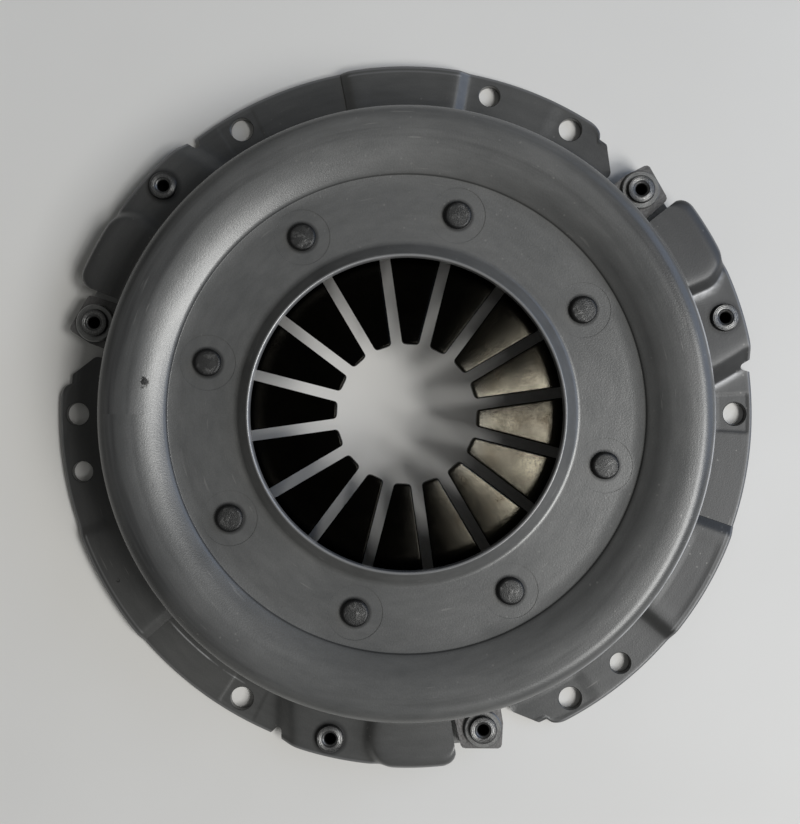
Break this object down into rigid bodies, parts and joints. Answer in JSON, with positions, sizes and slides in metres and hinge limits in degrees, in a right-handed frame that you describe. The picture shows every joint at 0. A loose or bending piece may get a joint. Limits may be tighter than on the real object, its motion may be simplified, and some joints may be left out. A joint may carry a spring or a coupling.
{
  "type": "diaphragm clutch cover assembly",
  "caption": "Pressed clutch cover with a recessed riveting ring, diaphragm spring fingers, strap-driven cast pressure plate and a stepped bolting flange.",
  "frame": {"origin": "on the clutch axis, in the plane where the flange meets the flywheel", "axes": "+Z along the axis away from the flywheel, towards the release bearing; +X through a bolt hole"},
  "size_m": [0.3206, 0.3206, 0.048],
  "materials": {
    "cover_paint": "dark grey satin phosphate and paint on pressed steel",
    "cast_iron": "as-cast grey iron with a ground friction face",
    "spring_steel": "satin shot-peened spring steel",
    "wire_steel": "drawn steel wire",
    "strap_steel": "rolled spring steel strip",
    "rivet_steel": "dark upset rivet steel",
    "washer_steel": "plain turned steel"
  },
  "bodies": {
    "cover_assembly": {"cover": "cover_paint", "upper_fulcrum_ring": "wire_steel", "lower_fulcrum_ring": "wire_steel", "fulcrum_rivet_1": "rivet_steel", "fulcrum_rivet_2": "rivet_steel", "fulcrum_rivet_3": "rivet_steel", "fulcrum_rivet_4": "rivet_steel", "fulcrum_rivet_5": "rivet_steel", "fulcrum_rivet_6": "rivet_steel", "fulcrum_rivet_7": "rivet_steel", "fulcrum_rivet_8": "rivet_steel", "strap_1_top": "strap_steel", "strap_1_middle": "strap_steel", "strap_1_bottom": "strap_steel", "strap_2_top": "strap_steel", "strap_2_middle": "strap_steel", "strap_2_bottom": "strap_steel", "strap_3_top": "strap_steel", "strap_3_middle": "strap_steel", "strap_3_bottom": "strap_steel", "cover_strap_rivet_1": "rivet_steel", "cover_strap_rivet_2": "rivet_steel", "cover_strap_rivet_3": "rivet_steel"},
    "plate_assembly": {"pressure_plate": "cast_iron", "ear_rivet_1": "rivet_steel", "ear_rivet_2": "rivet_steel", "ear_rivet_3": "rivet_steel", "ear_washer_1": "washer_steel", "ear_washer_2": "washer_steel", "ear_washer_3": "washer_steel"},
    "finger_01_body": {"finger_01": "spring_steel"},
    "finger_02_body": {"finger_02": "spring_steel"},
    "finger_03_body": {"finger_03": "spring_steel"},
    "finger_04_body": {"finger_04": "spring_steel"},
    "finger_05_body": {"finger_05": "spring_steel"},
    "finger_06_body": {"finger_06": "spring_steel"},
    "finger_07_body": {"finger_07": "spring_steel"},
    "finger_08_body": {"finger_08": "spring_steel"},
    "finger_09_body": {"finger_09": "spring_steel"},
    "finger_10_body": {"finger_10": "spring_steel"},
    "finger_11_body": {"finger_11": "spring_steel"},
    "finger_12_body": {"finger_12": "spring_steel"},
    "finger_13_body": {"finger_13": "spring_steel"},
    "finger_14_body": {"finger_14": "spring_steel"},
    "finger_15_body": {"finger_15": "spring_steel"},
    "finger_16_body": {"finger_16": "spring_steel"}
  },
  "joints": [
    {"name": "plate_lift", "type": "slide", "parent": "cover_assembly", "child": "plate_assembly", "axis": [0, 0, 1], "range_m": [0, 0.0048], "stiffness_N_per_m": 20000, "springref_m": -0.002, "deforming": ["strap_1_top", "strap_1_middle", "strap_1_bottom", "strap_2_top", "strap_2_middle", "strap_2_bottom", "strap_3_top", "strap_3_middle", "strap_3_bottom"]},
    {"name": "finger_01_tilt", "type": "hinge", "parent": "cover_assembly", "child": "finger_01_body", "pos_m": [0.08884, 0.03102, 0.03118], "axis": [0.3297, -0.9441, 0], "range_deg": [0, 11.8]},
    {"name": "finger_02_tilt", "type": "hinge", "parent": "cover_assembly", "child": "finger_02_body", "pos_m": [0.0702, 0.06266, 0.03118], "axis": [0.6659, -0.7461, 0], "range_deg": [0, 11.8]},
    {"name": "finger_03_tilt", "type": "hinge", "parent": "cover_assembly", "child": "finger_03_body", "pos_m": [0.04088, 0.08476, 0.03118], "axis": [0.9007, -0.4344, 0], "range_deg": [0, 11.8]},
    {"name": "finger_04_tilt", "type": "hinge", "parent": "cover_assembly", "child": "finger_04_body", "pos_m": [0.00534, 0.09395, 0.03118], "axis": [0.9984, -0.0567, 0], "range_deg": [0, 11.8]},
    {"name": "finger_05_tilt", "type": "hinge", "parent": "cover_assembly", "child": "finger_05_body", "pos_m": [-0.03102, 0.08884, 0.03118], "axis": [0.9441, 0.3297, 0], "range_deg": [0, 11.8]},
    {"name": "finger_06_tilt", "type": "hinge", "parent": "cover_assembly", "child": "finger_06_body", "pos_m": [-0.06266, 0.0702, 0.03118], "axis": [0.7461, 0.6659, 0], "range_deg": [0, 11.8]},
    {"name": "finger_07_tilt", "type": "hinge", "parent": "cover_assembly", "child": "finger_07_body", "pos_m": [-0.08476, 0.04088, 0.03118], "axis": [0.4344, 0.9007, 0], "range_deg": [0, 11.8]},
    {"name": "finger_08_tilt", "type": "hinge", "parent": "cover_assembly", "child": "finger_08_body", "pos_m": [-0.09395, 0.00534, 0.03118], "axis": [0.0567, 0.9984, 0], "range_deg": [0, 11.8]},
    {"name": "finger_09_tilt", "type": "hinge", "parent": "cover_assembly", "child": "finger_09_body", "pos_m": [-0.08884, -0.03102, 0.03118], "axis": [-0.3297, 0.9441, 0], "range_deg": [0, 11.8]},
    {"name": "finger_10_tilt", "type": "hinge", "parent": "cover_assembly", "child": "finger_10_body", "pos_m": [-0.0702, -0.06266, 0.03118], "axis": [-0.6659, 0.7461, 0], "range_deg": [0, 11.8]},
    {"name": "finger_11_tilt", "type": "hinge", "parent": "cover_assembly", "child": "finger_11_body", "pos_m": [-0.04088, -0.08476, 0.03118], "axis": [-0.9007, 0.4344, 0], "range_deg": [0, 11.8]},
    {"name": "finger_12_tilt", "type": "hinge", "parent": "cover_assembly", "child": "finger_12_body", "pos_m": [-0.00534, -0.09395, 0.03118], "axis": [-0.9984, 0.0567, 0], "range_deg": [0, 11.8]},
    {"name": "finger_13_tilt", "type": "hinge", "parent": "cover_assembly", "child": "finger_13_body", "pos_m": [0.03102, -0.08884, 0.03118], "axis": [-0.9441, -0.3297, 0], "range_deg": [0, 11.8]},
    {"name": "finger_14_tilt", "type": "hinge", "parent": "cover_assembly", "child": "finger_14_body", "pos_m": [0.06266, -0.0702, 0.03118], "axis": [-0.7461, -0.6659, 0], "range_deg": [0, 11.8]},
    {"name": "finger_15_tilt", "type": "hinge", "parent": "cover_assembly", "child": "finger_15_body", "pos_m": [0.08476, -0.04088, 0.03118], "axis": [-0.4344, -0.9007, 0], "range_deg": [0, 11.8]},
    {"name": "finger_16_tilt", "type": "hinge", "parent": "cover_assembly", "child": "finger_16_body", "pos_m": [0.09395, -0.00534, 0.03118], "axis": [-0.0567, -0.9984, 0], "range_deg": [0, 11.8]}
  ],
  "couplings": [
    {"joint": "finger_01_tilt", "follows": "plate_lift", "rad_per_m": 42.5},
    {"joint": "finger_02_tilt", "follows": "plate_lift", "rad_per_m": 42.5},
    {"joint": "finger_03_tilt", "follows": "plate_lift", "rad_per_m": 42.5},
    {"joint": "finger_04_tilt", "follows": "plate_lift", "rad_per_m": 42.5},
    {"joint": "finger_05_tilt", "follows": "plate_lift", "rad_per_m": 42.5},
    {"joint": "finger_06_tilt", "follows": "plate_lift", "rad_per_m": 42.5},
    {"joint": "finger_07_tilt", "follows": "plate_lift", "rad_per_m": 42.5},
    {"joint": "finger_08_tilt", "follows": "plate_lift", "rad_per_m": 42.5},
    {"joint": "finger_09_tilt", "follows": "plate_lift", "rad_per_m": 42.5},
    {"joint": "finger_10_tilt", "follows": "plate_lift", "rad_per_m": 42.5},
    {"joint": "finger_11_tilt", "follows": "plate_lift", "rad_per_m": 42.5},
    {"joint": "finger_12_tilt", "follows": "plate_lift", "rad_per_m": 42.5},
    {"joint": "finger_13_tilt", "follows": "plate_lift", "rad_per_m": 42.5},
    {"joint": "finger_14_tilt", "follows": "plate_lift", "rad_per_m": 42.5},
    {"joint": "finger_15_tilt", "follows": "plate_lift", "rad_per_m": 42.5},
    {"joint": "finger_16_tilt", "follows": "plate_lift", "rad_per_m": 42.5}
  ]
}
